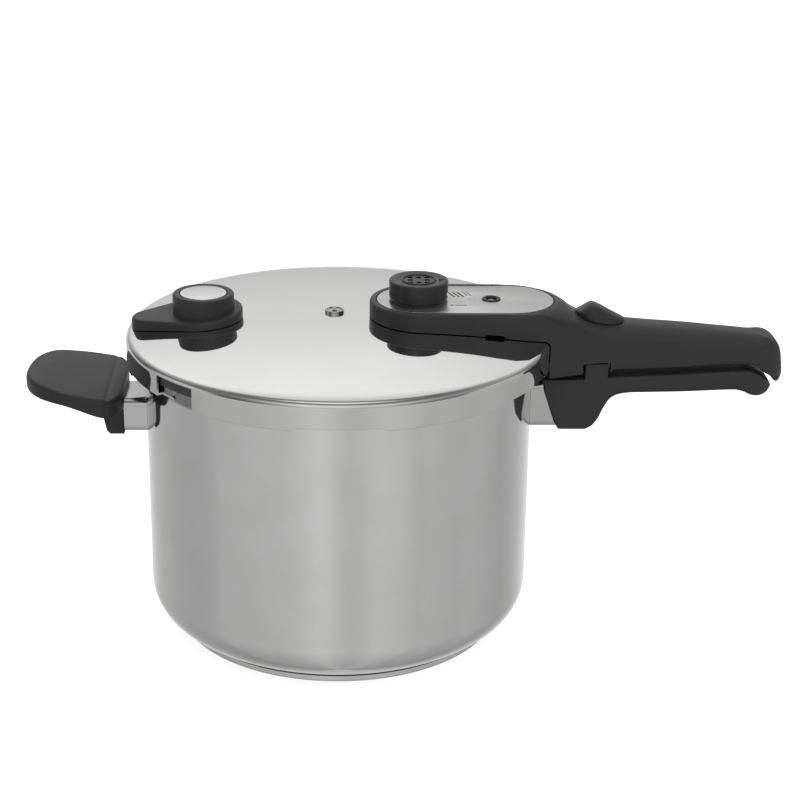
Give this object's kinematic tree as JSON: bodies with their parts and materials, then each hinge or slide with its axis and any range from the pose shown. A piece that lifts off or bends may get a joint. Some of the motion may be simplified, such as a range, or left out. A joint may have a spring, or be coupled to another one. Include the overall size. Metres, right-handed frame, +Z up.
{
  "type": "stovetop pressure cooker",
  "caption": "Round stovetop pressure cooker with a bayonet lid, a long two-part handle, a helper handle, a turning pressure regulator and a lid lock.",
  "frame": {"origin": "centre of the underside of the base disc, where the cooker stands on the hob", "axes": "+Z up along the pot's axis, +X along the long handle, +Y away from the side that faces the user"},
  "size_m": [0.4394, 0.245, 0.2088],
  "materials": {
    "pot_steel": "polished stainless steel with a soft satin sheen",
    "base_steel": "spun stainless steel",
    "aluminium_core": "plain",
    "bracket_steel": "plain pressed steel",
    "collar_steel": "satin brushed",
    "lid_steel": "mirror-polished stainless steel",
    "plate_steel": "finely brushed inlay",
    "disc_steel": "satin inlay",
    "handle_plastic": "fine matt grain, heat-resistant moulding",
    "trim_plastic": "smooth satin",
    "index_white": "white insert",
    "silicone": "translucent white silicone",
    "black_rubber": "black silicone",
    "brass": "turned brass",
    "turned_steel": "turned and plated",
    "fastener_steel": "zinc-plated"
  },
  "bodies": {
    "pot": {"pot_shell": "pot_steel", "base_core": "aluminium_core", "base_cap": "base_steel", "long_bracket": "bracket_steel", "long_collar": "collar_steel", "lower_handle": "handle_plastic", "lower_handle_screw": "fastener_steel", "helper_bracket": "bracket_steel", "helper_collar": "collar_steel", "helper_handle": "handle_plastic", "helper_screw": "fastener_steel"},
    "seal": {"sealing_ring": "silicone"},
    "lid": {"lid_shell": "lid_steel", "upper_handle": "handle_plastic", "top_plate": "plate_steel", "grip_underplate": "handle_plastic", "handle_carrier": "bracket_steel", "handle_screws": "fastener_steel", "valve_body": "brass", "valve_washer": "silicone", "valve_nut": "turned_steel", "valve_strainer": "turned_steel", "knob_seat": "trim_plastic", "indicator_guide": "turned_steel", "indicator_washer": "silicone", "indicator_nut": "turned_steel", "indicator_bezel": "trim_plastic", "safety_body": "turned_steel", "safety_washer": "silicone", "safety_nut": "turned_steel", "lid_grip": "handle_plastic", "grip_disc": "disc_steel", "grip_screw": "fastener_steel"},
    "knob": {"valve_knob": "handle_plastic", "knob_index": "index_white"},
    "piston": {"valve_piston": "turned_steel", "valve_spring": "turned_steel"},
    "indicator": {"indicator_pin": "turned_steel", "indicator_seal": "black_rubber"},
    "lock": {"lock_button": "handle_plastic", "lock_slider": "bracket_steel"},
    "safety": {"safety_pin": "turned_steel", "safety_spring": "turned_steel"}
  },
  "joints": [
    {"name": "lid_lift", "type": "slide", "parent": "pot", "child": "seal", "axis": [0, 0, 1], "range_m": [0, 0.12]},
    {"name": "lid_turn", "type": "hinge", "parent": "seal", "child": "lid", "pos_m": [0, 0, 0.17], "axis": [0, 0, 1], "range_deg": [0, 30]},
    {"name": "knob_turn", "type": "hinge", "parent": "lid", "child": "knob", "pos_m": [0.0455, 0, 0.2], "axis": [0, 0, 1], "range_deg": [-15, 75]},
    {"name": "piston_lift", "type": "slide", "parent": "lid", "child": "piston", "axis": [0, 0, 1], "range_m": [0, 0.002], "stiffness_N_per_m": 1500, "springref_m": -0.002, "deforming": ["valve_spring"]},
    {"name": "indicator_rise", "type": "slide", "parent": "lid", "child": "indicator", "axis": [0, 0, 1], "range_m": [0, 0.004]},
    {"name": "lock_slide", "type": "slide", "parent": "lid", "child": "lock", "axis": [1, 0, 0], "range_m": [0, 0.006]},
    {"name": "safety_pop", "type": "slide", "parent": "lid", "child": "safety", "axis": [0, 0, 1], "range_m": [0, 0.0015], "stiffness_N_per_m": 3000, "springref_m": -0.002, "deforming": ["safety_spring"]}
  ]
}
